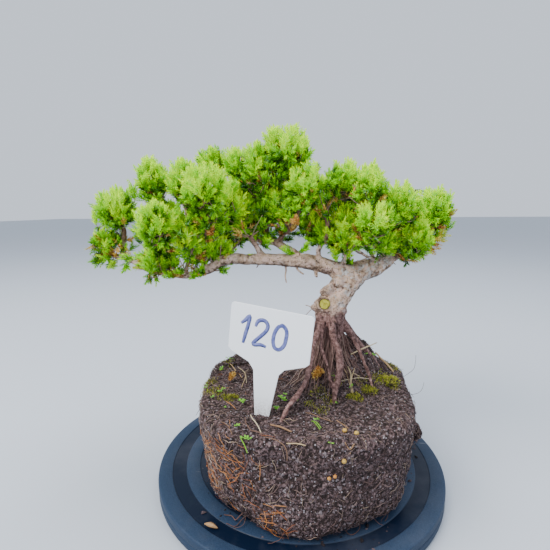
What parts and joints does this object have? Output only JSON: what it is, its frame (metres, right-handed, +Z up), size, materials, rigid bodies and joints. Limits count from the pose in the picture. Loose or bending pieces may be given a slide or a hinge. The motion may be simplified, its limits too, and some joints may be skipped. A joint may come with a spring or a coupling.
{
  "type": "bonsai tree with a bare root ball on a turntable",
  "caption": "Leaning juniper bonsai with needle foliage pads and bare root ball, holding a T-shaped plant label and standing on a round workshop turntable that spins.",
  "frame": {"origin": "the turntable's axis where it meets the surface that the turntable stands on", "axes": "+Z up along the turntable's axis, +X to the viewer's right and along the crown's length, +Y away from the viewer, the side without the label"},
  "size_m": [0.3322, 0.25, 0.304],
  "materials": {
    "turntable_plastic": "satin",
    "soil": "matte",
    "bark": "matte",
    "foliage": "satin",
    "label_plastic": "satin",
    "prill_coating": "satin",
    "moss": "matte"
  },
  "bodies": {
    "base": {"turntable_base": "turntable_plastic"},
    "platter": {"turntable_platter": "turntable_plastic", "root_ball": "soil", "trunk_and_roots": "bark", "foliage_pad_01": "foliage", "foliage_pad_02": "foliage", "foliage_pad_03": "foliage", "foliage_pad_04": "foliage", "foliage_pad_05": "foliage", "foliage_pad_06": "foliage", "foliage_pad_07": "foliage", "foliage_pad_08": "foliage", "foliage_pad_09": "foliage", "foliage_pad_10": "foliage", "foliage_pad_11": "foliage", "foliage_pad_12": "foliage", "foliage_pad_13": "foliage", "foliage_pad_14": "foliage", "foliage_pad_15": "foliage", "foliage_pad_16": "foliage", "foliage_pad_17": "foliage", "foliage_pad_18": "foliage", "foliage_pad_19": "foliage", "foliage_pad_20": "foliage", "foliage_pad_21": "foliage", "foliage_pad_22": "foliage", "foliage_pad_23": "foliage", "foliage_pad_24": "foliage", "foliage_pad_25": "foliage", "foliage_pad_26": "foliage", "foliage_pad_27": "foliage", "foliage_pad_28": "foliage", "foliage_pad_29": "foliage", "foliage_pad_30": "foliage", "foliage_pad_31": "foliage", "foliage_pad_32": "foliage", "plant_label": "label_plastic", "fertiliser_prill_1": "prill_coating", "fertiliser_prill_2": "prill_coating", "fertiliser_prill_3": "prill_coating", "fertiliser_prill_4": "prill_coating", "fertiliser_prill_5": "prill_coating", "moss_cushion_1": "moss", "moss_cushion_2": "moss", "moss_cushion_3": "moss", "moss_cushion_4": "moss"}
  },
  "joints": [
    {"name": "platter_spin", "type": "hinge", "parent": "base", "child": "platter", "pos_m": [0, 0, 0.0068], "axis": [0, 0, 1], "continuous": true}
  ]
}
